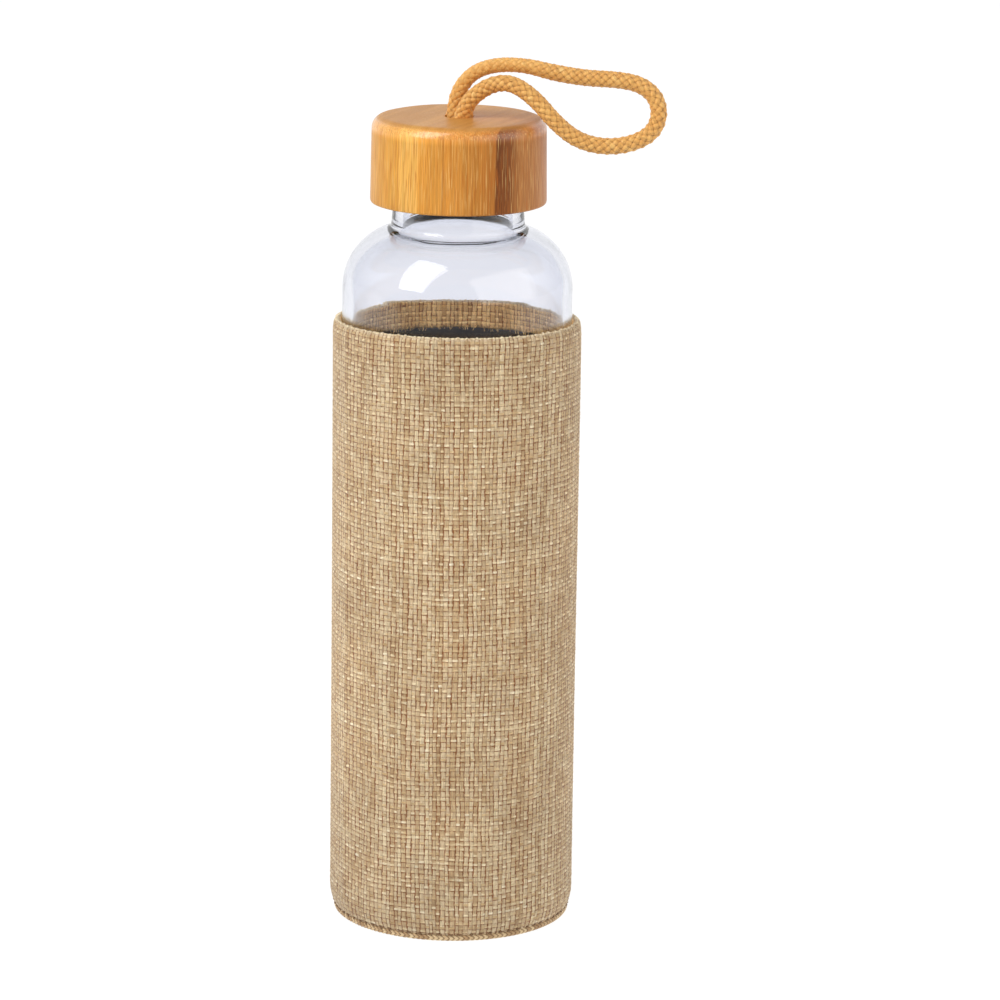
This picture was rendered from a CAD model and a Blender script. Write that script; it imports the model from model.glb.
from math import cos, pi, radians, sin, sqrt

import bpy
import numpy as np
from mathutils import Matrix, Vector


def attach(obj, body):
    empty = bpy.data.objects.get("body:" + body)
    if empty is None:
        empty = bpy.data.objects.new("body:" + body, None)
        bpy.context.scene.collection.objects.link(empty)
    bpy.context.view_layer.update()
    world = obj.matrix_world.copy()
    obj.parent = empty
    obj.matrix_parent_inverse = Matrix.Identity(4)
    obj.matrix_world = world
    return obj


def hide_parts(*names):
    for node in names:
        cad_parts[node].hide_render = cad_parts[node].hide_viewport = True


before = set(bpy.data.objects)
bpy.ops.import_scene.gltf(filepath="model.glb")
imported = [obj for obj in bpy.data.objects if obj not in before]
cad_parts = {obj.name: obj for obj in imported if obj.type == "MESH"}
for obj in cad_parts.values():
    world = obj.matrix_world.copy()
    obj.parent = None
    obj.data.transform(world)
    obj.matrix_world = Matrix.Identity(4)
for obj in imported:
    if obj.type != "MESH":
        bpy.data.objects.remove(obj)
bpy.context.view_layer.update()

# Looks of a glass water bottle with a bamboo cap, a braided loop and a woven sleeve.
# Shapes are given in millimetres and scaled once, when a mesh is made.

MM = 0.001

# ---------------------------------------------------------------- sizes, in millimetres
# Sleeve: the shell leans in at the rim and folds over into a hem
SLEEVE_R = 35.0
SLEEVE_TOP = 175.0
SLEEVE_BORE_R = 32.9
HEM_BOTTOM = 167.0
HEM_RUN = 8.6
SHELL_INNER_R = 34.1
SHELL_FOOT = (33.8, 1.95)
FOOT_TURN_Z = 7.5
LEAN_Z = 172.0
LEAN_IN = 0.35
FOLD_Z = 174.1
BACK_SAG = 2.5
BASE_R = 32.2
LINING_R = 34.0
LINING_TOP = 166.9

# Weave: the number of warps round the sleeve, and mesh points across a yarn
WARPS = 160
WEFT_PITCH = 1.46
SAMPLES = 3
YARN_RELIEF = 0.34

# Glass bottle
GLASS_R = 32.5
GLASS_WALL = 2.75
GLASS_BOTTOM = 3.2
GLASS_FLOOR = 7.7
SHOULDER_R = 18.0
SHOULDER_Z = 182.6
NECK_R = 18.75
NECK_BORE_R = 15.6
NECK_BLEND = 2.0
NECK_BORE_BLEND = 3.4
FINISH_R = 18.25
FINISH_Z = 208.0
RIM_Z = 217.5
RIM_EDGE = 0.8
THREAD_Z = 210.0
THREAD_PITCH = 4.0
THREAD_TURNS = 1.5
THREAD_HEIGHT = 1.5

# Cap, its pocket for the knot and the hole for the cord
CAP_TOP = 231.4
CAP_BOTTOM = 207.2
CAP_R = 24.5
CAP_FOOT_R = 24.8
CAP_ROUND = 3.4
CAP_BORE_R = 22.0
CAP_BORE_TOP = 220.9
POCKET_R = 8.5
POCKET_TOP = 227.4
HOLE_R = 4.0
HOLE_EDGE = 0.4
CORD_R = 2.4

CORD_ROUTE = [
    (-1.1, 2.2, 224.6),
    (-1.1, 2.2, 228.5),
    (-1.1, 2.2, 231.8),
    (-1.1, 2.2, 235.2),
    (0.5, 1.9, 239.8),
    (4.4, 1.0, 244.0),
    (10.6, 0.0, 246.0),
    (18.4, -1.2, 246.0),
    (26.0, -2.3, 244.2),
    (35.2, -3.3, 242.9),
    (44.0, -4.4, 242.8),
    (50.4, -5.4, 241.7),
    (54.6, -6.4, 238.4),
    (55.8, -7.4, 233.6),
    (54.0, -8.4, 228.8),
    (48.9, -9.4, 225.8),
    (41.1, -10.3, 224.6),
    (33.0, -11.0, 226.5),
    (26.6, -11.2, 231.6),
    (21.0, -9.6, 238.0),
    (14.6, -7.0, 242.0),
    (9.2, -4.6, 241.2),
    (4.7, -3.3, 238.2),
    (1.9, -2.5, 234.9),
    (1.1, -2.2, 231.8),
    (1.1, -2.2, 228.5),
    (1.1, -2.2, 224.6),
]


# ---------------------------------------------------------------- camera
def make_camera():
    """A long lens, a little above the bottle and looking down at it."""
    pitch, yaw, roll = radians(13.607), radians(0.171), radians(0.761)
    forward = Vector((sin(yaw) * cos(pitch), cos(yaw) * cos(pitch), -sin(pitch)))
    right = Vector((cos(yaw), -sin(yaw), 0))
    up = right.cross(forward)
    across = right * cos(roll) + up * sin(roll)
    upward = up * cos(roll) - right * sin(roll)
    data = bpy.data.cameras.new("camera")
    data.sensor_width = 36
    data.lens = 171.0
    camera = bpy.data.objects.new("camera", data)
    bpy.context.scene.collection.objects.link(camera)
    turn = Matrix((across, upward, -forward)).transposed()
    camera.matrix_world = Matrix.Translation((0.00885, -1.315, 0.4394)) @ turn.to_4x4()
    bpy.context.scene.camera = camera


# ---------------------------------------------------------------- mesh helpers
def mesh_piece(name, points, faces, body, material, nodes=(), attributes=None):
    """A piece from points in millimetres. attributes are point vectors that its material reads."""
    mesh = bpy.data.meshes.new(name)
    mesh.from_pydata((np.asarray(points, float) * MM).tolist(), [], [list(face) for face in faces])
    for label, values in (attributes or {}).items():
        layer = mesh.attributes.new(label, "FLOAT_VECTOR", "POINT")
        layer.data.foreach_set("vector", np.asarray(values, np.float32).ravel())
    mesh.validate()
    mesh.shade_smooth()
    piece = bpy.data.objects.new(name, mesh)
    bpy.context.scene.collection.objects.link(piece)
    mesh.materials.append(material)
    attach(piece, body)
    if nodes:
        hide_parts(*nodes)
    return piece


def grid_faces(rows, columns, wrap_rows, wrap_columns, start=0):
    """Quads over a grid of points that are numbered row by row."""
    row = np.arange(rows if wrap_rows else rows - 1)
    column = np.arange(columns if wrap_columns else columns - 1)
    row, column = (side.ravel() for side in np.meshgrid(row, column, indexing="ij"))
    next_row, next_column = (row + 1) % rows, (column + 1) % columns
    corners = [(row, column), (row, next_column), (next_row, next_column), (next_row, column)]
    return np.stack([start + r * columns + c for r, c in corners], 1)


def arc(centre_r, centre_z, radius, first, last, steps):
    """Points on an arc in a section, from one angle to another, in degrees."""
    angles = np.radians(np.linspace(first, last, steps + 1))
    return [(centre_r + radius * cos(a), centre_z + radius * sin(a)) for a in angles]


def lean_arc(foot_r, foot_z, lean, rise, steps):
    """Points on an arc that starts upright at its foot and leans in."""
    radius = (lean**2 + rise**2) / (2 * lean)
    heights = np.linspace(0, rise, steps + 1)
    return [(foot_r - radius + sqrt(radius**2 - h**2), foot_z + h) for h in heights]


def resample(points, step):
    """The same line with points about one step apart, and the distance run at each."""
    points = np.asarray(points, float)
    run = np.concatenate([[0], np.cumsum(np.linalg.norm(np.diff(points, axis=0), axis=1))])
    keep = np.concatenate([[True], np.diff(run) > 1e-9])
    points, run = points[keep], run[keep]
    spaced = np.linspace(0, run[-1], max(2, round(run[-1] / step) + 1))
    return np.stack([np.interp(spaced, run, points[:, i]) for i in range(points.shape[1])], 1), spaced


def unit(vectors):
    """Vectors brought to a length of one."""
    return vectors / np.linalg.norm(vectors, axis=-1, keepdims=True)


def triples(x, y, z):
    """Vectors numbered row by row, from three values whose shapes fit one another."""
    return np.stack(np.broadcast_arrays(x, y, z), -1).reshape(-1, 3)


def section_normals(section):
    """Unit normals to the right of a line's direction of travel, seen with radius right and height up."""
    tangent = unit(np.gradient(section, axis=0))
    return np.stack([tangent[:, 1], -tangent[:, 0]], 1)


def around_axis(radius, angle, level):
    """Points at a radius, an angle round Z from the front and a level."""
    return triples(radius * np.sin(angle), -radius * np.cos(angle), level)


def lathe_points(section, columns):
    """A section turned about Z, each of its points becoming a row that starts at the front."""
    return around_axis(section[:, :1], 2 * pi * np.arange(columns) / columns, section[:, 1:])


# ---------------------------------------------------------------- material helpers
def paint(red, green, blue):
    """A screen colour, 0 to 255 a channel, as the linear colour that shaders use."""
    values = [channel / 255 for channel in (red, green, blue)]
    return tuple(v / 12.92 if v <= 0.04045 else ((v + 0.055) / 1.055) ** 2.4 for v in values) + (1.0,)


class Paint:
    """A material with one Principled shader, and a short call for each kind of node."""

    def __init__(self, name, **constants):
        self.material = bpy.data.materials.new(name)
        self.material.use_nodes = True
        self.nodes = self.material.node_tree.nodes
        self.links = self.material.node_tree.links
        self.shader = self.nodes["Principled BSDF"]
        for socket, value in constants.items():
            self.shader.inputs[socket.replace("_", " ")].default_value = value

    def make(self, kind, settings=None, **inputs):
        node = self.nodes.new("ShaderNode" + kind)
        for name, value in (settings or {}).items():
            setattr(node, name, value)
        for name, value in inputs.items():
            self.feed(node.inputs[name.replace("_", " ")], value)
        return node

    def feed(self, socket, value):
        if isinstance(value, bpy.types.NodeSocket):
            self.links.new(value, socket)
        else:
            socket.default_value = value

    def math(self, operation, first, second=0.0):
        node = self.make("Math", {"operation": operation})
        for socket, value in zip(node.inputs, (first, second)):
            self.feed(socket, value)
        return node.outputs[0]

    def add(self, first, second):
        return self.math("ADD", first, second)

    def times(self, first, second):
        return self.math("MULTIPLY", first, second)

    def minus(self, first, second):
        return self.math("SUBTRACT", first, second)

    def size(self, value):
        """How far a value is from nought."""
        return self.math("ABSOLUTE", value)

    def swing(self, noise, reach):
        """A noise carried to a number from minus to plus half the reach."""
        return self.times(self.minus(noise, 0.5), reach)

    def between(self, value, low, high, out_low=0.0, out_high=1.0):
        """value carried from one range to another, smoothly and held at the ends."""
        node = self.make("MapRange", {"interpolation_type": "SMOOTHSTEP"})
        for socket, number in zip(node.inputs, (value, low, high, out_low, out_high)):
            self.feed(socket, number)
        return node.outputs[0]

    def place(self):
        """The point in the part's own frame, in millimetres, as x, y and z."""
        point = self.make("TexCoord").outputs["Object"]
        scaled = self.make("VectorMath", {"operation": "SCALE"}, Scale=1000.0)
        self.links.new(point, scaled.inputs[0])
        return scaled.outputs[0]

    def attribute(self, name):
        return self.split(self.make("Attribute", {"attribute_name": name}).outputs["Vector"])

    def split(self, vector):
        return list(self.make("SeparateXYZ", Vector=vector).outputs)

    def join(self, x=0.0, y=0.0, z=0.0):
        return self.make("CombineXYZ", X=x, Y=y, Z=z).outputs[0]

    def noise(self, vector, scale=1.0, detail=2.0, rough=0.5):
        return self.make("TexNoise", Vector=vector, Scale=scale, Detail=detail, Roughness=rough).outputs[0]

    def grain(self, x, y, z=0.0, detail=2.0, rough=0.5):
        """Noise at a point each of whose coordinates is a number or a pair of a value and its scale."""
        point = [self.times(*part) if isinstance(part, tuple) else part for part in (x, y, z)]
        return self.noise(self.join(*point), detail=detail, rough=rough)

    def random(self, value):
        """One random number for each whole value."""
        return self.make("TexWhiteNoise", {"noise_dimensions": "1D"}, W=value).outputs["Value"]

    def pick(self, chooser, first, second):
        """first where chooser is 0 and second where it is 1, for plain numbers."""
        node = self.make("Mix", {"data_type": "FLOAT"})
        for socket, value in zip((node.inputs[0], node.inputs[2], node.inputs[3]), (chooser, first, second)):
            self.feed(socket, value)
        return node.outputs[0]

    def blend(self, factor, first, second, mode="MIX"):
        """Two colours mixed."""
        node = self.make("Mix", {"data_type": "RGBA", "blend_type": mode})
        for socket, value in zip((node.inputs[0], node.inputs[6], node.inputs[7]), (factor, first, second)):
            self.feed(socket, value)
        return node.outputs[2]

    def ramp(self, value, stops):
        """A colour for each value from 0 to 1. Each stop is a position and a screen colour."""
        node = self.make("ValToRGB", Fac=value)
        elements = node.color_ramp.elements
        elements[0].position, elements[1].position = stops[0][0], stops[-1][0]
        for stop in stops[1:-1]:
            elements.new(stop[0])
        for element, (_, *colour) in zip(elements, stops):
            element.color = paint(*colour)
        return node.outputs[0]

    def bright(self, colour, factor):
        """A colour made lighter or darker by a number."""
        node = self.make("VectorMath", {"operation": "SCALE"})
        self.feed(node.inputs[0], colour)
        self.feed(node.inputs["Scale"], factor)
        return node.outputs[0]

    def finish(self, colour, rough, height=None, depth=0.1):
        """Wires the colour, the roughness and a bump whose height is in millimetres times depth."""
        self.feed(self.shader.inputs["Base Color"], colour)
        self.feed(self.shader.inputs["Roughness"], rough)
        if height is not None:
            bump = self.make("Bump", Strength=1.0, Distance=depth * MM, Height=height)
            self.links.new(bump.outputs[0], self.shader.inputs["Normal"])
        return self.material


# ---------------------------------------------------------------- materials
# The hem is seen through the glass and in the shade of the rim, so its colours are lifted.
HEM_TINT = (1.65, 1.38, 0.86, 1.0)


def woven_material():
    """Plain weave of slubby yarn: upright warps, level wefts, and brown gaps and shadows between them.

    The attribute holds the place in yarns, across and along, and how far the cloth has turned in at the
    rim: nothing on the outside, one at the fold and two on the hem.
    """
    m = Paint("jute_weave", Specular_IOR_Level=0.35, Sheen_Weight=0.1, Sheen_Roughness=0.5)
    across, along, turned_in = m.attribute("yarn")
    ragged = m.grain((across, 1.9), (along, 1.9), 8.0)
    patch = m.grain((across, 0.45), (along, 0.3), 3.0, detail=3.0)
    rows_seen = m.grain((across, 0.16), (along, 0.55), 12.0, detail=3.0)
    warp, weft = m.math("FLOOR", across), m.math("FLOOR", along)
    in_warp = m.add(m.minus(m.minus(across, warp), 0.5), m.swing(ragged, 0.15))
    in_weft = m.add(m.minus(m.minus(along, weft), 0.5), m.swing(ragged, 0.25))
    warp_up = m.math("FLOORED_MODULO", m.add(warp, weft), 2.0)
    weft_up = m.minus(1.0, warp_up)
    beside, above = m.size(in_warp), m.size(in_weft)

    warp_fibre = m.grain((across, 5.5), (along, 0.6), 1.0, detail=3.0)
    warp_slub = m.grain((warp, 7.31), (along, 0.2), 5.0, detail=3.0)
    weft_fibre = m.grain((across, 0.8), (along, 4.5), 2.0, detail=3.0)
    weft_slub = m.grain((across, 0.4), (weft, 7.31), 6.0, detail=3.0)
    warp_tone = m.add(m.times(m.random(m.add(warp, 0.5)), 0.25), m.times(warp_slub, 0.75))
    warp_colour = m.ramp(
        warp_tone,
        [(0.2, 160, 126, 86), (0.42, 196, 167, 126), (0.55, 208, 184, 148), (0.75, 226, 206, 168)],
    )
    weft_colour = m.ramp(
        m.add(m.times(m.random(m.add(weft, 500.5)), 0.15), m.times(weft_slub, 0.85)),
        [(0.3, 190, 156, 108), (0.47, 212, 184, 138), (0.6, 232, 211, 170), (0.75, 252, 240, 210)],
    )
    weft_line = m.between(above, 0.16, 0.27, 1.0, 0.0)
    under_warp = m.times(warp_up, m.between(rows_seen, 0.5, 0.66, 0.0, 0.6))
    weft_seen = m.times(weft_line, m.math("MAXIMUM", weft_up, under_warp))
    weft_seen = m.times(weft_seen, m.between(beside, 0.38, 0.5, 1.0, 0.4))
    pale_edge = m.between(m.size(m.add(in_warp, 0.26)), 0.03, 0.12, 1.0, 0.0)
    pale_edge = m.times(pale_edge, m.between(warp_slub, 0.48, 0.62, 0.0, 0.7))
    warps = m.blend(pale_edge, warp_colour, paint(234, 216, 170))
    gap = m.times(m.between(beside, 0.3, 0.46), m.between(patch, 0.34, 0.56, 0.25, 1.0))
    warps = m.blend(gap, warps, paint(130, 76, 34))
    under = m.between(m.size(m.add(in_weft, 0.35)), 0.04, 0.14, 0.95, 0.0)
    under = m.times(under, m.between(ragged, 0.36, 0.58, 0.3, 1.0))
    shadow = m.times(m.math("MAXIMUM", weft_up, 0.55), under)
    warps = m.blend(shadow, warps, paint(130, 80, 40))
    colour = m.blend(weft_seen, warps, weft_colour)
    fibre = m.pick(weft_seen, warp_fibre, weft_fibre)
    broad = m.noise(m.place(), scale=0.05, detail=3.0)
    streak = m.times(m.between(fibre, 0.3, 0.7, 0.79, 1.22), m.between(broad, 0.35, 0.65, 0.93, 1.05))
    streak = m.times(streak, m.between(m.split(m.place())[2], 0.0, 70.0, 0.83, 1.0))
    colour = m.bright(colour, streak)
    colour = m.blend(m.between(turned_in, 1.1, 1.6), colour, HEM_TINT, mode="MULTIPLY")
    from_fold = m.size(m.minus(turned_in, 1.0))
    loop = m.times(m.between(from_fold, 0.1, 0.5, 0.75, 0.0), m.between(ragged, 0.4, 0.6, 0.1, 1.0))
    colour = m.blend(loop, colour, paint(255, 240, 204))
    warp_height = m.times(m.between(beside, 0.2, 0.48, 1.0, 0.0), m.pick(weft_up, 0.8, 0.5))
    height = m.add(m.math("MAXIMUM", warp_height, weft_seen), m.times(fibre, 0.5))
    rough = m.between(fibre, 0.2, 0.8, 0.65, 0.48)
    return m.finish(colour, rough, height, 0.16)


def lining_material():
    """Dark plain-woven cotton."""
    m = Paint("lining_cloth", Sheen_Weight=0.2, Sheen_Roughness=0.6)
    x, y, z = m.split(m.place())
    threads_round, thread_pitch = 330, 0.45
    turn = m.times(m.math("ARCTAN2", x, y), threads_round / pi)
    threads = m.times(m.math("SINE", m.times(turn, pi)), m.math("SINE", m.times(z, 2 * pi / thread_pitch)))
    mottle = m.noise(m.place(), scale=0.35, detail=4.0)
    colour = m.blend(m.between(mottle, 0.3, 0.7), paint(28, 19, 8), paint(48, 35, 18))
    colour = m.bright(colour, m.between(threads, -1.0, 1.0, 0.8, 1.15))
    return m.finish(colour, m.between(mottle, 0.2, 0.8, 0.8, 0.95), threads, 0.06)


def thread_material():
    """Twisted sewing thread."""
    m = Paint("stitch_thread", Sheen_Weight=0.15)
    point = m.place()
    twist = m.noise(point, scale=5.0, detail=2.0)
    mottle = m.noise(point, scale=0.7, detail=3.0)
    colour = m.blend(m.between(twist, 0.35, 0.65), paint(100, 72, 42), paint(140, 104, 66))
    colour = m.bright(colour, m.between(mottle, 0.3, 0.7, 0.85, 1.1))
    return m.finish(colour, m.between(twist, 0.2, 0.8, 0.75, 0.5), twist, 0.1)


def welt_material():
    """Coarse yarn sewn over the rolled edge.

    The attribute holds the place in stitches, the place round the roll and the height of the stitch's ridge.
    """
    m = Paint("welt_yarn", Sheen_Weight=0.12)
    stitch, lean, ridge = m.attribute("stitch")
    number = m.math("FLOOR", stitch)
    across = m.minus(stitch, number)
    fibre = m.grain((across, 6.0), (lean, 0.8), (number, 3.7), detail=3.0)
    tone = m.add(m.times(m.random(m.add(number, 0.5)), 0.45), m.times(fibre, 0.55))
    body = m.ramp(
        tone,
        [(0.15, 150, 112, 70), (0.5, 196, 164, 120), (0.85, 232, 208, 164)],
    )
    colour = m.blend(m.between(ridge, 0.25, 0.9, 0.85, 0.0), body, paint(104, 68, 36))
    return m.finish(colour, 0.6, fibre, 0.12)


def cord_material():
    """Shiny braided yarn.

    The attribute holds the distance along the cord, the strand's number and the place round it as its
    fraction, and how far the point stands out of the gaps.
    """
    m = Paint("braided_cord", Specular_IOR_Level=0.5, Sheen_Weight=0.1)
    run, strand, rise = m.attribute("strand")
    fibre = m.grain((run, 0.5), (strand, 19.0), detail=3.0)
    slub = m.grain((run, 0.3), (m.math("FLOOR", strand), 5.3))
    tone = m.add(m.times(fibre, 0.5), m.times(slub, 0.5))
    colour = m.ramp(
        tone,
        [(0.25, 206, 138, 60), (0.45, 236, 174, 90), (0.6, 250, 194, 108), (0.8, 255, 232, 164)],
    )
    colour = m.blend(m.between(rise, 0.32, 0.9, 0.95, 0.0), colour, paint(112, 58, 16))
    return m.finish(colour, m.between(fibre, 0.3, 0.7, 0.58, 0.4), fibre, 0.18)


def bamboo_material():
    """Laminated bamboo: upright strips glued side by side, with fibres that run up through the block."""
    m = Paint("bamboo", Specular_IOR_Level=0.2, Coat_Roughness=0.24, Coat_IOR=1.65)
    x, y, z = m.split(m.place())
    strip_turn, block_width = radians(-25), 50
    strip = m.add(m.times(x, cos(strip_turn)), m.times(y, sin(strip_turn)))
    edge_wander = m.swing(m.noise(m.join(0.0, 0.0, z), scale=0.15), 0.25)
    strip_place = m.add(m.times(m.add(strip, edge_wander), 1 / block_width), 0.5)
    strips = m.ramp(
        strip_place,
        [
            (0.0, 200, 146, 70),
            (0.1, 214, 152, 62),
            (0.355, 218, 156, 66),
            (0.364, 233, 176, 86),
            (0.480, 232, 173, 84),
            (0.487, 224, 156, 66),
            (0.615, 220, 152, 66),
            (0.635, 216, 146, 62),
            (0.770, 208, 140, 62),
            (0.790, 204, 136, 58),
            (0.873, 190, 120, 50),
            (0.879, 124, 67, 25),
            (0.93, 136, 78, 33),
            (0.96, 186, 122, 62),
        ],
    )
    bundles = m.grain((x, 1.5), (y, 1.5), (z, 0.02))
    fibres = m.grain((x, 3.4), (y, 3.4), (z, 0.05), detail=3.0, rough=0.6)
    pores = m.grain((x, 5.0), (y, 5.0), (z, 0.09), detail=1.0)
    bands = m.grain((strip, 0.45), 0.0, (z, 0.01))
    colour = m.bright(strips, m.between(bundles, 0.32, 0.68, 0.92, 1.06))
    colour = m.bright(colour, m.between(fibres, 0.32, 0.68, 0.86, 1.12))
    colour = m.bright(colour, m.between(bands, 0.3, 0.7, 0.92, 1.06))
    orange_line = m.between(pores, 0.33, 0.42, 0.75, 0.0)
    colour = m.blend(orange_line, colour, paint(184, 104, 36))
    pale_line = m.between(pores, 0.6, 0.68, 0.0, 0.5)
    colour = m.blend(pale_line, colour, paint(246, 200, 126))
    first_joint, second_joint = (m.size(m.minus(strip_place, joint)) for joint in (0.628, 0.778))
    glue = m.between(m.math("MINIMUM", first_joint, second_joint), 0.0, 0.006, 0.4, 0.0)
    colour = m.blend(glue, colour, paint(150, 86, 34))

    top = m.between(z, CAP_TOP - 1.4, CAP_TOP - 0.05)
    broad = m.grain((x, 0.05), (strip, 0.35), 2.0)
    grain_ends = m.grain((x, 2.2), (y, 2.2), detail=3.0)
    top_colour = m.blend(m.between(broad, 0.35, 0.65), paint(190, 133, 68), paint(205, 149, 81))
    top_colour = m.bright(top_colour, m.between(grain_ends, 0.3, 0.7, 0.93, 1.05))
    top_colour = m.blend(0.18, top_colour, colour)
    colour = m.blend(m.times(top, 0.92), colour, top_colour)
    worn_edge = m.times(m.between(z, CAP_TOP - 5.0, CAP_TOP - 3.0), m.between(top, 0.1, 0.9, 1.0, 0.0))
    colour = m.bright(colour, m.add(1.0, m.times(worn_edge, 0.24)))
    m.feed(m.shader.inputs["Specular IOR Level"], m.between(top, 0.0, 1.0, 0.2, 0.1))
    waxed_edge = m.times(m.between(z, CAP_TOP - 4.5, CAP_TOP - 2.5), m.between(top, 0.3, 1.0, 1.0, 0.0))
    m.feed(m.shader.inputs["Coat Weight"], m.times(waxed_edge, m.between(bundles, 0.3, 0.7, 0.7, 1.0)))
    height = m.add(fibres, m.times(pores, 0.6))
    rough = m.between(fibres, 0.3, 0.7, 0.42, 0.3)
    return m.finish(colour, rough, height, 0.05)


def glass_material():
    """Clear glass, with the faint unevenness of a blown wall."""
    m = Paint("clear_glass", Transmission_Weight=1.0, IOR=1.5, Specular_IOR_Level=0.5)
    uneven = m.noise(m.place(), scale=0.09, detail=1.0)
    haze = m.noise(m.place(), scale=0.5, detail=3.0)
    edge = m.between(m.make("LayerWeight", Blend=0.5).outputs["Facing"], 0.2, 0.95)
    colour = m.blend(edge, paint(246, 247, 252), paint(206, 210, 223))
    material = m.finish(colour, m.between(haze, 0.4, 0.8, 0.0, 0.03), uneven, 0.12)
    shadow_ray = m.make("LightPath").outputs["Is Shadow Ray"]
    clear = m.make("BsdfTransparent", Color=(0.9, 0.9, 0.92, 1.0))
    mix = m.make("MixShader", Fac=shadow_ray)
    m.links.new(m.shader.outputs[0], mix.inputs[1])
    m.links.new(clear.outputs[0], mix.inputs[2])
    m.links.new(mix.outputs[0], m.nodes["Material Output"].inputs["Surface"])
    return material


def plastic_material():
    """Milky moulded polypropylene."""
    m = Paint("liner_plastic", Subsurface_Weight=0.15, Subsurface_Scale=0.002)
    mottle = m.noise(m.place(), scale=0.4, detail=3.0)
    grain = m.noise(m.place(), scale=9.0, detail=1.0)
    colour = m.blend(m.between(mottle, 0.3, 0.7), paint(226, 228, 226), paint(238, 239, 236))
    return m.finish(colour, m.between(mottle, 0.3, 0.7, 0.3, 0.42), grain, 0.02)


def silicone_material():
    """Soft translucent silicone."""
    m = Paint("seal_silicone", Subsurface_Weight=0.3, Subsurface_Scale=0.002)
    mottle = m.noise(m.place(), scale=0.6, detail=3.0)
    colour = m.blend(m.between(mottle, 0.3, 0.7), paint(222, 224, 226), paint(236, 238, 240))
    return m.finish(colour, m.between(mottle, 0.3, 0.7, 0.5, 0.62), mottle, 0.03)


# ---------------------------------------------------------------- cord
def route_points():
    """The loop's line, read from a NURBS spline through the route."""
    curve = bpy.data.curves.new("loop_route", "CURVE")
    curve.dimensions = "3D"
    curve.resolution_u = 24
    spline = curve.splines.new("NURBS")
    spline.points.add(len(CORD_ROUTE) - 1)
    for place, (x, y, z) in zip(spline.points, CORD_ROUTE):
        place.co = (x * MM, y * MM, z * MM, 1)
    spline.order_u = 3
    spline.use_endpoint_u = True
    line = bpy.data.objects.new("loop_route", curve)
    bpy.context.scene.collection.objects.link(line)
    bpy.context.view_layer.update()
    mesh = bpy.data.meshes.new_from_object(line.evaluated_get(bpy.context.evaluated_depsgraph_get()))
    points = np.array([vertex.co for vertex in mesh.vertices]) / MM
    bpy.data.objects.remove(line)
    bpy.data.meshes.remove(mesh)
    return points


def line_frames(points):
    """Two directions square to the line at each point, carried along it without twist."""
    tangents = unit(np.gradient(points, axis=0))
    normals = [unit(np.cross(tangents[0], (0.0, 1.0, 0.3)))]
    for tangent in tangents[1:]:
        normals.append(unit(normals[-1] - tangent * normals[-1].dot(tangent)))
    normals = np.array(normals)
    return normals, np.cross(tangents, normals)


def strand_tube(centres, outward, sideways, half_thick, half_wide, sides):
    """A flat-oval tube round a line of centres, as one row of points for each centre."""
    angle = (2 * pi * np.arange(sides) / sides)[:, None]
    ring = outward[:, None] * half_thick * np.cos(angle) + sideways[:, None] * half_wide * np.sin(angle)
    return centres[:, None] + ring


def squeeze_into_hole(points, run):
    """Presses the cord's two ends side by side inside the wall of the cap's hole, from a little above it."""
    end_length, fade, spread, gap = 14, 3.5, 0.32, 0.05
    mouth_z, widening, sharpness = CAP_TOP - 0.6, 1.2, 8
    hole_x, hole_y, _ = CORD_ROUTE[0]
    beside = np.array([hole_y, -hole_x]) / np.hypot(hole_x, hole_y)
    above = np.clip(points[:, 2] - mouth_z, 0, None)
    at_end = np.minimum(run, run.max() - run) < end_length
    push = spread * np.clip(1 - above / fade, 0, 1) * at_end
    squeezed = points.copy()
    squeezed[:, :2] += (points[:, :2] @ beside * push)[:, None] * beside
    limit = HOLE_R - gap + widening * above
    ratio = np.where(at_end, np.linalg.norm(squeezed[:, :2], axis=1) / limit, 0)
    squeezed[:, :2] /= ((1 + ratio**sharpness) ** (1 / sharpness))[:, None]
    return squeezed


def end_caps(start, last, sides):
    """Fans of quads that close the two ends of a tube, whose points run from start to last."""
    rims = [np.arange(start, start + sides)[::-1], np.arange(last - sides, last)]
    return np.array([rim[[0, i, i + 1, i + 2]] for rim in rims for i in range(1, sides - 2, 2)])


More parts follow.
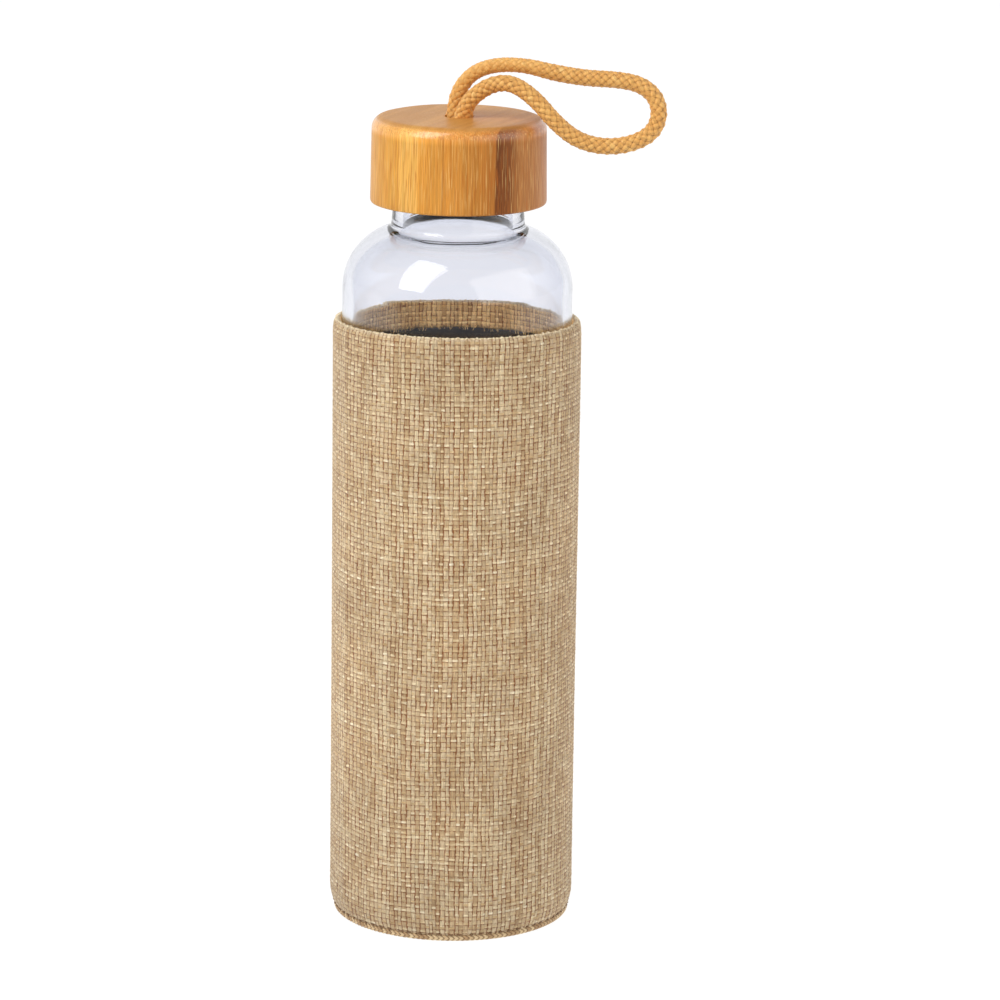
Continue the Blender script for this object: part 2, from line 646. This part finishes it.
def braided_cord(points, material):
    """Twelve yarns, six each way round, each passing over and under the others in turn, on a core."""
    carriers, lay, step, sides = 6, 14.0, 0.2, 8
    weave_r, wave, half_thick, half_wide = 1.63, 0.21, 0.56, 0.84
    core_r, core_sides, core_number, gap_r = 1.3, 12, 40, 1.5
    line, run = resample(points, step)
    normals, binormals = line_frames(line)
    slim = np.interp(run, [0, 12, 18, 34, 44, run[-1]], [1, 0.95, 0.86, 0.86, 1.02, 1.0])
    vertices, faces, marks = [], [], []

    def add_tube(tube, along, sides, number, rise):
        start = sum(len(part) for part in vertices)
        vertices.append(tube.reshape(-1, 3))
        faces.append(grid_faces(len(along), sides, False, True, start))
        faces.append(end_caps(start, start + len(vertices[-1]), sides))
        marks.append(triples(along[:, None], number + 0.9 * np.arange(sides) / sides, rise))

    for way in (1, -1):
        over = np.cos(2 * pi * run * carriers / lay) * way
        for carrier in range(carriers):
            angle = 2 * pi * (way * run / lay + carrier / carriers)
            outward = normals * np.cos(angle)[:, None] + binormals * np.sin(angle)[:, None]
            centres = line + outward * ((weave_r + wave * over) * slim)[:, None]
            sideways = unit(np.cross(np.gradient(centres, axis=0), outward))
            tube = strand_tube(centres, outward, sideways, half_thick, half_wide, sides)
            out = np.linalg.norm(tube - line[:, None], axis=2) / slim[:, None]
            rise = np.clip((out - gap_r) / (CORD_R - gap_r), 0, 1)
            add_tube(tube, run, sides, carrier + carriers * (way > 0), rise)
    thin = slice(None, None, 4)
    core = strand_tube(line[thin], normals[thin], binormals[thin], core_r, core_r, core_sides)
    add_tube(core, run[thin], core_sides, core_number, 0)
    marks = np.concatenate(marks)
    vertices = squeeze_into_hole(np.concatenate(vertices), marks[:, 0])
    cord = mesh_piece(
        "carrying_loop", vertices, np.concatenate(faces), "cord", material,
        ["cord_loop"], {"strand": marks},
    )


def knot_piece(material):
    """The hidden knot of the two ends, drawn as one closed braid that winds into a flattened ball."""
    knot_r, swing, middle_z, rise = 3.1, 1.25, 224.1, 0.95
    strand_r, braid_depth, braid_ridges, braid_pitch, sides = 1.7, 0.14, 8, 12, 20
    turns = np.linspace(0, 2 * pi, 241)[:-1]
    reach = knot_r + swing * np.cos(3 * turns)
    height = middle_z + rise * np.sin(3 * turns)
    centres = triples(reach * np.cos(2 * turns), reach * np.sin(2 * turns), height)
    tangents = unit(np.roll(centres, -1, 0) - np.roll(centres, 1, 0))
    upward = unit(np.array([0.0, 0.0, 1.0]) - tangents * tangents[:, 2:])
    sideways = np.cross(tangents, upward)
    angle = 2 * pi * np.arange(sides) / sides
    along = np.arange(len(turns))[:, None]
    ridge_turn, ridge_run = braid_ridges * angle / 2, 2 * pi * along / braid_pitch
    braid = braid_depth * np.cos(ridge_turn + ridge_run) * np.cos(ridge_turn - ridge_run)
    thick = (strand_r + braid)[:, :, None]
    points = strand_tube(centres, upward, sideways, thick, thick, sides).reshape(-1, 3)
    faces = grid_faces(len(turns), sides, True, True)
    marks = triples(along * 0.25, angle, 0.5 + 3 * braid)
    mesh_piece(
        "loop_knot", points, faces, "cord", material, ["cord_knot"], {"strand": marks}
    )


# ---------------------------------------------------------------- sleeve
def back_sag(angle, level):
    """How far the cloth has slumped at the back of the rim, fading out down the sleeve."""
    calm_z = 130
    rise = np.clip((level - calm_z) / (SLEEVE_TOP - calm_z), 0, 1)
    return BACK_SAG * (1 - np.cos(angle)) / 2 * rise


def sleeve_section():
    """The shell's outside, over the rim and down the hem, then back down the hidden inside."""
    foot_r, foot_z = SHELL_FOOT
    foot = lean_arc(SLEEVE_R, FOOT_TURN_Z, SLEEVE_R - foot_r, foot_z - FOOT_TURN_Z, 10)[::-1]
    rim = lean_arc(SLEEVE_R, LEAN_Z, LEAN_IN, FOLD_Z - LEAN_Z, 8)
    fold_out = rim[-1][0]
    fold_r = (fold_out - SLEEVE_BORE_R) / 2
    middle = (fold_out + SLEEVE_BORE_R) / 2
    rise = (SLEEVE_TOP - FOLD_Z) / fold_r
    fold = [(r, FOLD_Z + (z - FOLD_Z) * rise) for r, z in arc(middle, FOLD_Z, fold_r, 0, 180, 10)]
    seen = [(foot_r - 0.9, foot_z)] + foot + rim + fold + [(SLEEVE_BORE_R, HEM_BOTTOM)]
    hidden = [(SLEEVE_BORE_R + 0.4, HEM_BOTTOM), (SHELL_INNER_R, HEM_BOTTOM + 0.2)]
    hidden += [(SHELL_INNER_R, z) for z in np.linspace(160, FOOT_TURN_Z, 16)]
    return seen, hidden


def yarn_relief(generator, across, along):
    """The height of plain weave over its ground, with the unevenness of each yarn."""
    warp, weft = np.floor(across).astype(int), np.floor(along).astype(int)
    in_warp, in_weft = across - warp - 0.5, along - weft - 0.5
    warp_up = (warp + weft) % 2 == 1
    warp_size = generator.uniform(0.75, 1.1, warp.max() + 2)[warp]
    weft_size = generator.uniform(0.7, 1.15, weft.max() + 2)[weft]
    warp_over = warp_size * (1 - 0.9 * (2 * in_warp) ** 2) * (1 - 0.15 * (2 * in_weft) ** 2)
    weft_over = weft_size * (1 - 1.6 * (2 * in_weft) ** 2) * (1 - 0.3 * (2 * in_warp) ** 2)
    return YARN_RELIEF * (np.where(warp_up, warp_over, weft_over) - 0.6)


def yarn_wander(generator, across, along):
    """Where each point strays to: its place across, in yarns, and how far it slips along, in millimetres."""
    warp, weft = np.floor(across).astype(int), np.floor(along).astype(int)
    wefts = weft.max() + 1
    height = along * WEFT_PITCH
    pitch = generator.uniform(0.7, 1.35, WARPS)
    edges = np.concatenate([[0], np.cumsum(pitch / pitch.sum())]) * WARPS
    place = np.interp(across, np.arange(WARPS + 1), edges)
    slip = np.zeros_like(along)
    for _ in range(8):
        turns = generator.integers(1, 8)
        rise, phase = generator.uniform(40, 160), generator.uniform(0, 2 * pi, 2)
        place += 0.05 * np.sin(2 * pi * (turns * across / WARPS + height / rise) + phase[0])
        slip += 0.1 * np.sin(2 * pi * (turns * across / WARPS - height / rise) + phase[1])
    for reach, longest in ((0.09, 40), (0.06, 14)):
        warp_phase = generator.uniform(0, 2 * pi, WARPS)[warp]
        warp_rise = generator.uniform(0.5, 1, WARPS)[warp] * longest
        place += reach * np.sin(2 * pi * height / warp_rise + warp_phase)
        weft_phase = generator.uniform(0, 2 * pi, wefts)[weft]
        weft_turns = generator.integers(220 // longest, 440 // longest, wefts)[weft]
        slip += 0.8 * reach * np.sin(2 * pi * weft_turns * across / WARPS + weft_phase)
    slip += generator.uniform(-0.12, 0.12, wefts)[weft]
    return place, slip


def sleeve_shell(material):
    """The woven shell, whose yarns are modelled one by one."""
    generator = np.random.default_rng(11)
    seen, hidden = sleeve_section()
    rows, run = resample(seen, WEFT_PITCH / SAMPLES)
    count, columns = len(rows), WARPS * SAMPLES
    across, along = np.meshgrid((np.arange(columns) + 0.5) / SAMPLES, (np.arange(count) + 0.5) / SAMPLES)
    relief = yarn_relief(generator, across, along)
    place, slip = yarn_wander(generator, across, along)
    angle = 2 * pi * place / WARPS + pi

    # Yarns slip and billow less near the foot, near the cut edge of the hem and just under the fold
    foot_calm, edge_calm, fade = 1.5, 0.4, 6
    calm = np.clip(np.minimum(run - foot_calm, run[-1] - edge_calm - run) / fade, 0, 1)
    calm *= np.clip(np.abs(run - (run[-1] - 10)) / fade, 0.25, 1)
    spot = np.interp(run[:, None] + slip * calm[:, None], run, np.arange(count))
    section = np.hstack([rows, section_normals(rows)])
    radius, level, out_r, out_z = (np.interp(spot, np.arange(count), line) for line in section.T)

    circle = 2 * pi * SLEEVE_R
    from_seam = across * circle / WARPS
    seam_width, seam_depth, fold_width, fold_swell, turn_run = 0.8, 0.7, 1.6, 1.3, 2.8
    seam = np.exp(-((np.minimum(from_seam, circle - from_seam) / seam_width) ** 2))
    height = along * WEFT_PITCH
    billow = 0.1 * np.sin(2 * angle + 0.6) * np.sin(height / 37) + 0.08 * np.sin(3 * angle + height / 55)
    past_fold = (run - run[-1] + HEM_RUN)[:, None]
    relief *= 1 + fold_swell * np.exp(-((past_fold / fold_width) ** 2))
    relief += (billow - seam_depth * seam) * calm[:, None]
    radius += out_r * relief
    level += out_z * relief - back_sag(angle, level)
    foot_zone = SHELL_FOOT[1] + 1.9
    radius = np.where(level < foot_zone, np.minimum(radius, SLEEVE_R), radius)

    hidden_r, hidden_z = np.array(hidden).T[:, :, None]
    points = [around_axis(radius, angle, level), around_axis(hidden_r, angle[-1], hidden_z)]
    turned_in = np.clip(past_fold / turn_run + 1, 0, 2)
    wefts_per_row = 5.5
    hidden_rows = wefts_per_row * np.arange(len(hidden))[:, None]
    marks = [triples(across, along, turned_in), triples(across[0], hidden_rows, 2)]
    shell_piece = mesh_piece(
        "sleeve_shell", np.concatenate(points), grid_faces(count + len(hidden), columns, True, True),
        "sleeve", material, ["sleeve_outer"], {"yarn": np.concatenate(marks)},
    )


def sleeve_lining_piece(material):
    """The dark lining tube, a little wrinkled."""
    inner_r, wrinkle_r, foot_z, step, columns = 32.95, 33, 2.35, 1.5, 180
    section = [(inner_r, foot_z), (33.2, foot_z), (LINING_R, 7.6)]
    section += [(LINING_R, LINING_TOP), (inner_r, LINING_TOP)]
    inside_face = resample([section[-1], section[0]], step)[0][1:-1]
    outline = np.concatenate([resample(section, step)[0], inside_face])
    points = lathe_points(outline, columns)
    angle, level = np.arctan2(points[:, 0], -points[:, 1]), points[:, 2]
    wrinkle = 0.09 * np.sin(9 * angle + level / 11) * np.sin(level / 7)
    wrinkle[np.hypot(points[:, 0], points[:, 1]) >= wrinkle_r] = 0
    points[:, :2] *= (1 + wrinkle / wrinkle_r)[:, None]
    points[:, 2] -= back_sag(angle, level)
    faces = grid_faces(len(outline), columns, True, True)
    piece = mesh_piece(
        "sleeve_lining_tube", points, faces, "sleeve", material, ["sleeve_lining"]
    )


def base_disc(material):
    """The woven disc that the sleeve stands on, with its yarns modelled on the underside."""
    generator = np.random.default_rng(5)
    thick, pitch, rim_z, slab_z, columns = 1.5, 1.42, 0.5, 0.6, 128
    half = int(BASE_R / pitch) + 1
    steps = 2 * half * SAMPLES + 1
    line = (np.arange(steps) - half * SAMPLES) / SAMPLES
    across, along = np.meshgrid(line, line)
    relief = yarn_relief(generator, across + half + 1 / 6, along + half + 1 / 6)
    reach = np.hypot(across, along) * pitch
    inside = reach < BASE_R
    shrink = pitch * np.minimum(1, BASE_R / np.maximum(reach, 1e-6))
    level = np.where(inside, np.clip(0.26 - relief, 0.02, 0.6), rim_z)
    under = triples(across * shrink, along * shrink, level)
    faces = grid_faces(steps, steps, False, False)[:, ::-1]
    faces = faces[inside.ravel()[faces].any(1)]
    used, faces = np.unique(faces, return_inverse=True)
    under = under[used]

    slab = np.array([(0.01, slab_z), (BASE_R, slab_z), (BASE_R, thick), (0.01, thick)])
    top = lathe_points(slab, columns)
    first_yarn = 40
    marks = triples(across + first_yarn, along + first_yarn, 0)[used]
    top_marks = triples(top[:, 0] / pitch + first_yarn, top[:, 1] / pitch + first_yarn, 0)
    faces = np.concatenate([faces.reshape(-1, 4), grid_faces(len(slab), columns, True, True, len(under))])
    mesh_piece(
        "sleeve_base_disc", np.concatenate([under, top]), faces, "sleeve", material,
        ["sleeve_base"], {"yarn": np.concatenate([marks, top_marks])},
    )


def base_lining_disc(material):
    """The dark disc inside, quilted by a ring of stitches."""
    disc_r, top_z, under_z, edge_drop = 32.1, 2.9, 1.56, 0.3
    quilt_r, quilt_width, quilt_depth, columns = 27.0, 0.7, 0.18, 128
    radii = np.append(np.linspace(0.01, 31.4, 40), [31.9, disc_r])
    drop = quilt_depth * np.exp(-(((radii - quilt_r) / quilt_width) ** 2)) + edge_drop * (radii == disc_r)
    outline = np.array([*zip(radii, top_z - drop), (disc_r, under_z), (0.01, under_z)])
    faces = grid_faces(len(outline), columns, True, True)
    mesh_piece(
        "sleeve_base_lining_disc", lathe_points(outline, columns), faces, "sleeve",
        material, ["sleeve_base_lining"],
    )


def base_welt_piece(material):
    """The rolled bottom edge, overstitched so that its yarn lies in a row of vees."""
    stitches, per_stitch, around = 148, 8, 24
    ring_r, ring_z, lowest = 32.95, 1.1, 0.02
    columns = stitches * per_stitch
    turn = (np.arange(columns) / per_stitch)[:, None]
    roll = (2 * pi * np.arange(around) / around)[None]
    lean = np.abs(((roll - radians(-5) + pi) % (2 * pi)) - pi)
    place = turn + 0.75 * lean
    ridge = np.abs(np.sin(pi * place)) ** 0.6
    radius = 0.74 + 0.3 * ridge - 0.14 * np.exp(-((lean / 0.16) ** 2))
    level = np.maximum(ring_z + radius * np.sin(roll), lowest)
    points = around_axis(ring_r + radius * np.cos(roll), 2 * pi * turn / stitches, level)
    marks = triples(place, lean, ridge)
    faces = grid_faces(columns, around, True, True)
    mesh_piece(
        "sleeve_welt", points, faces, "sleeve", material, ["base_welt"], {"stitch": marks}
    )


def hem_fray(material):
    """The cut ends of the yarns along the lower edge of the turned-in hem."""
    generator = np.random.default_rng(23)
    count, rings, sides = 420, 4, 5
    side = 2 * pi * np.arange(sides) / sides
    points, marks, faces = [], [], []
    for index in range(count):
        angle = 2 * pi * (index + generator.uniform(-0.4, 0.4)) / count
        top = HEM_BOTTOM + 0.6 - back_sag(angle, HEM_BOTTOM)
        length, bend = generator.uniform(0.3, 1.7), generator.uniform(-0.6, 0.6)
        thick = generator.uniform(0.1, 0.24)
        for part in np.linspace(0, 1, rings):
            size = thick * (1 - 0.55 * part)
            radius = SLEEVE_BORE_R + 0.12 - 0.1 * part + size * np.cos(side)
            turned = angle + (bend * part**2 + size * np.sin(side)) / SLEEVE_BORE_R
            points.append(around_axis(radius, turned, top - length * part))
            marks.append(triples(side / 7 + index, 0.5 + 0.2 * part, 2))
        faces.append(grid_faces(rings, sides, False, True, index * rings * sides))
    mesh_piece(
        "hem_yarn_ends", np.concatenate(points), np.concatenate(faces), "sleeve",
        material, (), {"yarn": np.concatenate(marks)},
    )


def base_stitch_piece(material):
    """Short twisted stitches in the groove above the rolled edge."""
    generator = np.random.default_rng(41)
    count, rings, sides = 72, 13, 8
    groove_r, level, thread_r = 33.98, 2.15, 0.27
    part = np.linspace(-1, 1, rings)[:, None]
    side = 2 * pi * np.arange(sides) / sides
    bow = 0.1 * (1 - part**2) - 0.05
    thick = thread_r * np.sqrt(1 - 0.96 * part**2) * (1 + 0.12 * np.cos(2 * side + 5 * part))
    points, faces = [], []
    for index in range(count):
        middle = 2 * pi * (index + generator.uniform(-0.14, 0.14)) / count
        length = generator.uniform(0.9, 1.6)
        angle = middle + part * length / 2 / groove_r
        points.append(around_axis(groove_r + bow + thick * np.cos(side), angle, level + thick * np.sin(side)))
        faces.append(grid_faces(rings, sides, False, True, index * rings * sides))
    mesh_piece(
        "sleeve_stitches", np.concatenate(points), np.concatenate(faces), "sleeve",
        material, ["base_stitches"],
    )


# ---------------------------------------------------------------- glass and cap
def rounded(points, radius, steps=6):
    """An open section line whose inner corners are rounded, for small blends between its parts."""
    out = [np.asarray(points[0], float)]
    for before, corner, after in zip(points, points[1:], points[2:]):
        before, corner, after = (np.asarray(p, float) for p in (before, corner, after))
        reach_in = min(radius, np.linalg.norm(corner - before) / 2)
        reach_out = min(radius, np.linalg.norm(after - corner) / 2)
        first = corner + (before - corner) / np.linalg.norm(before - corner) * reach_in
        last = corner + (after - corner) / np.linalg.norm(after - corner) * reach_out
        for t in np.linspace(0, 1, steps + 1):
            out.append((1 - t) ** 2 * first + 2 * t * (1 - t) * corner + t**2 * last)
    out.append(np.asarray(points[-1], float))
    return out


def neck_blend(axis_r, shoulder_z, shoulder_r, neck_r, radius):
    """A hollow arc between an upright neck and a round shoulder: its turn in degrees and its centre."""
    across = neck_r + radius - axis_r
    rise = sqrt((shoulder_r + radius) ** 2 - across**2)
    return np.degrees(np.arctan2(rise, across)), (neck_r + radius, shoulder_z + rise)


def glass_section():
    """The bottle's section from the middle of its underside, up the outside and down the inside."""
    axis_r, inner_r, inner_shoulder_r = GLASS_R - SHOULDER_R, GLASS_R - GLASS_WALL, SHOULDER_R - GLASS_WALL
    foot_round, floor_round = 5, 4
    outer_turn, outer_centre = neck_blend(axis_r, SHOULDER_Z, SHOULDER_R, NECK_R, NECK_BLEND)
    inner_turn, inner_centre = neck_blend(axis_r, SHOULDER_Z, inner_shoulder_r, NECK_BORE_R, NECK_BORE_BLEND)
    hollow = [(0.01, GLASS_BOTTOM + 1.6), (13.0, GLASS_BOTTOM + 1.2), (26.0, GLASS_BOTTOM)]
    outside = rounded(hollow + [(GLASS_R - foot_round, GLASS_BOTTOM)], 4, 8)
    outside += arc(GLASS_R - foot_round, GLASS_BOTTOM + foot_round, foot_round, 270, 360, 12)
    outside += [(GLASS_R, z) for z in np.linspace(GLASS_BOTTOM + foot_round + 1, SHOULDER_Z - 1, 40)]
    outside += arc(axis_r, SHOULDER_Z, SHOULDER_R, 0, outer_turn, 36)
    outside += arc(*outer_centre, NECK_BLEND, 180 + outer_turn, 180, 10)[1:]
    neck = np.linspace((NECK_R, outer_centre[1]), (FINISH_R, FINISH_Z), 8)
    outside += [tuple(place) for place in neck[1:]]
    thread_start = len(outside)
    outside += [(FINISH_R, z) for z in np.arange(FINISH_Z + 0.2, RIM_Z - 0.9, 0.2)]
    thread_end = len(outside)
    outside += arc(FINISH_R - RIM_EDGE, RIM_Z - RIM_EDGE, RIM_EDGE, 0, 90, 8)
    outside += arc(NECK_BORE_R + RIM_EDGE, RIM_Z - RIM_EDGE, RIM_EDGE, 90, 180, 8)
    inside = [(NECK_BORE_R, z) for z in np.linspace(RIM_Z - 2 * RIM_EDGE, inner_centre[1] + 0.5, 20)]
    inside += arc(*inner_centre, NECK_BORE_BLEND, 180, 180 + inner_turn, 14)
    inside += arc(axis_r, SHOULDER_Z, inner_shoulder_r, inner_turn, 0, 36)[1:]
    inside += [(inner_r, z) for z in np.linspace(SHOULDER_Z - 1, GLASS_FLOOR + floor_round + 1, 40)]
    floor_r = inner_r - floor_round
    inside += arc(floor_r, GLASS_FLOOR + floor_round, floor_round, 360, 270, 12)
    inside += [(r, GLASS_FLOOR + 0.8 * (1 - r / floor_r) ** 2) for r in np.linspace(24, 0.01, 14)]
    return np.array(outside + inside), thread_start, thread_end


def thread_height(angle, level):
    """How far the neck's screw thread stands out at an angle and a level, with ends that fade out."""
    start_angle, half_width, flank, fade = radians(110), 1.0, 0.5, 0.03
    turned = ((angle - start_angle) / (2 * pi)) % 1.0
    total = np.zeros_like(angle * level)
    for whole in range(3):
        run = turned + whole
        away = np.abs(level - THREAD_Z - THREAD_PITCH * run)
        rib = np.clip((half_width - away) / flank, 0, 1)
        rib = rib * rib * (3 - 2 * rib)
        ends = np.clip(run / fade, 0, 1) * np.clip((THREAD_TURNS - run) / fade, 0, 1)
        total = np.maximum(total, THREAD_HEIGHT * rib * ends)
    return total


def glass_piece(material):
    """The bottle in clear glass, with its outside thread."""
    section, first, last = glass_section()
    columns = 288
    angle = 2 * pi * np.arange(columns) / columns
    radius = np.repeat(section[:, :1], columns, 1)
    radius[first:last] += thread_height(angle, section[first:last, 1:])
    points = around_axis(radius, angle, section[:, 1:])
    faces = grid_faces(len(section), columns, False, True).tolist()
    column, top = np.arange(columns), len(points) - columns
    following = np.roll(column, -1)
    faces += triples(len(points), following, column).tolist()
    faces += triples(len(points) + 1, top + column, top + following).tolist()
    points = np.concatenate([points, [[0, 0, section[0, 1]], [0, 0, section[-1, 1]]]])
    mesh_piece("glass_body", points, faces, "bottle", material, ["glass_bottle"])


def eased(corner_r, corner_z, offsets):
    """Points at small offsets from a corner, where an edge is broken by sanding."""
    return [(corner_r + r, corner_z + z) for r, z in offsets]


def cap_piece(material):
    """The turned bamboo cap, with crisp but eased edges and a faintly uneven, hand-sanded top."""
    columns = 256
    round_z = CAP_TOP - CAP_ROUND
    flare = (CAP_FOOT_R - CAP_R) / (round_z - CAP_BOTTOM - 0.5)
    outline = [(HOLE_R, POCKET_TOP + 0.1), (HOLE_R, POCKET_TOP + 2.1), (HOLE_R, CAP_TOP - 0.5)]
    outline += arc(HOLE_R + HOLE_EDGE, CAP_TOP - HOLE_EDGE, HOLE_EDGE, 180, 90, 5)
    outline += [(r, CAP_TOP) for r in np.linspace(HOLE_R + 0.6, CAP_R - CAP_ROUND - 0.7, 24)]
    outline += arc(CAP_R - CAP_ROUND, round_z, CAP_ROUND, 90, 0, 16)
    side = np.linspace(round_z - 1.5, CAP_BOTTOM + 1.8, 16)
    outline += [(CAP_R + flare * (round_z - z), z) for z in side]
    outline += eased(CAP_FOOT_R, CAP_BOTTOM, [(0, 0.7), (-0.08, 0.3), (-0.25, 0.08), (-0.5, 0)])
    outline += eased(CAP_BORE_R, CAP_BOTTOM, [(1.2, 0), (0.3, 0), (0.08, 0.05), (0, 0.25)])
    outline += [(CAP_BORE_R, z) for z in np.linspace(CAP_BOTTOM + 1.3, CAP_BORE_TOP - 0.7, 10)]
    outline += eased(CAP_BORE_R, CAP_BORE_TOP, [(-0.1, -0.1), (-0.4, 0), (-10, 0)])
    outline += eased(POCKET_R, CAP_BORE_TOP, [(0.4, 0), (0.05, 0.15), (0, 0.5)])
    outline += eased(POCKET_R, POCKET_TOP, [(0, -0.5), (-0.3, 0)])
    outline.append((HOLE_R + 0.3, POCKET_TOP))
    points = lathe_points(np.array(outline), columns)
    x, y, z = points.T
    on_top = (z > CAP_TOP - 0.5) & (np.hypot(x, y) > HOLE_R + 1)
    points[on_top, 2] -= 0.03 * (1 + np.sin(x / 5.3 + y / 3.1)[on_top])
    faces = grid_faces(len(outline), columns, True, True)
    mesh_piece("bamboo_lid", points, faces, "cap", material, ["bamboo_cap"])


# ---------------------------------------------------------------- studio
def lamp(name, azimuth, elevation, away, size, power, colour):
    """A soft panel that faces the bottle. Azimuth is in degrees to the right of the front."""
    azimuth, elevation = radians(azimuth), radians(elevation)
    offset = Vector((sin(azimuth) * cos(elevation), -cos(azimuth) * cos(elevation), sin(elevation)))
    data = bpy.data.lights.new(name, "AREA")
    data.shape = "RECTANGLE"
    data.size, data.size_y = size
    data.energy, data.color = power, colour
    light = bpy.data.objects.new(name, data)
    light.location = Vector((0, 0, 0.17)) + away * offset
    light.rotation_euler = (-offset).to_track_quat("-Z", "Y").to_euler()
    bpy.context.scene.collection.objects.link(light)


def make_room():
    """A white room that is dim on the camera's side and overhead."""
    world = bpy.data.worlds.new("room")
    bpy.context.scene.world = world
    world.use_nodes = True
    nodes, links = world.node_tree.nodes, world.node_tree.links
    parts = nodes.new("ShaderNodeSeparateXYZ")
    links.new(nodes.new("ShaderNodeTexCoord").outputs["Generated"], parts.inputs[0])

    def shade(part, stops):
        spread = nodes.new("ShaderNodeMapRange")
        ramp = nodes.new("ShaderNodeValToRGB")
        links.new(parts.outputs[part], spread.inputs[0])
        spread.inputs[1].default_value = -1.0
        links.new(spread.outputs[0], ramp.inputs[0])
        for element, (position, colour) in zip(ramp.color_ramp.elements, stops):
            element.position, element.color = (position + 1) / 2, colour + (1,)
        return ramp.outputs[0]

    depth_shade = shade(1, [(-0.75, (0.36, 0.37, 0.41)), (0.85, (1.0, 1.0, 1.0))])
    height_shade = shade(2, [(0.45, (1.0, 1.0, 1.0)), (0.85, (0.38, 0.38, 0.38))])
    product = nodes.new("ShaderNodeVectorMath")
    product.operation = "MULTIPLY"
    links.new(depth_shade, product.inputs[0])
    links.new(height_shade, product.inputs[1])
    links.new(product.outputs[0], nodes["Background"].inputs[0])


def make_floor():
    """A pale floor round the bottle that turns dark towards the camera."""
    mesh = bpy.data.meshes.new("floor")
    reach = 6.0
    corners = [(-reach, -reach, 0), (reach, -reach, 0), (reach, reach, 0), (-reach, reach, 0)]
    mesh.from_pydata(corners, [], [(0, 1, 2, 3)])
    floor = bpy.data.objects.new("floor", mesh)
    bpy.context.scene.collection.objects.link(floor)
    m = Paint("pale_floor", Emission_Strength=1.0)
    mottle = m.noise(m.place(), scale=0.004)
    by_bottle = m.between(m.split(m.place())[1], -620.0, -180.0)
    glow = m.blend(by_bottle, (0.16, 0.16, 0.17, 1), (0.93, 0.93, 0.93, 1))
    m.feed(m.shader.inputs["Emission Color"], glow)
    pale = m.blend(mottle, (0.12, 0.12, 0.123, 1), (0.13, 0.13, 0.13, 1))
    mesh.materials.append(m.finish(m.blend(by_bottle, (0.12, 0.12, 0.12, 1), pale), 0.9))


def make_studio():
    """The room, the floor and two soft panels of light."""
    scene = bpy.context.scene
    scene.view_settings.view_transform = "Standard"
    scene.cycles.max_bounces = 20
    scene.cycles.transmission_bounces = 20
    make_room()
    lamp("key", -49, 42, 1.25, (0.66, 1.22), 12.6, (1.0, 0.985, 0.96))
    lamp("fill", 54, 22, 1.3, (1.6, 1.3), 6.5, (1.0, 0.94, 0.86))
    make_floor()


def main():
    make_camera()
    braid = cord_material()
    braided_cord(route_points(), braid)
    knot_piece(braid)
    glass_piece(glass_material())
    cap_piece(bamboo_material())
    weave = woven_material()
    sleeve_shell(weave)
    base_disc(weave)
    dark = lining_material()
    sleeve_lining_piece(dark)
    base_lining_disc(dark)
    hem_fray(weave)
    base_welt_piece(welt_material())
    base_stitch_piece(thread_material())
    for node, material in (("cap_liner", plastic_material()), ("seal_ring", silicone_material())):
        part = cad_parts[node]
        part.data.materials.clear()
        part.data.materials.append(material)
    make_studio()


main()
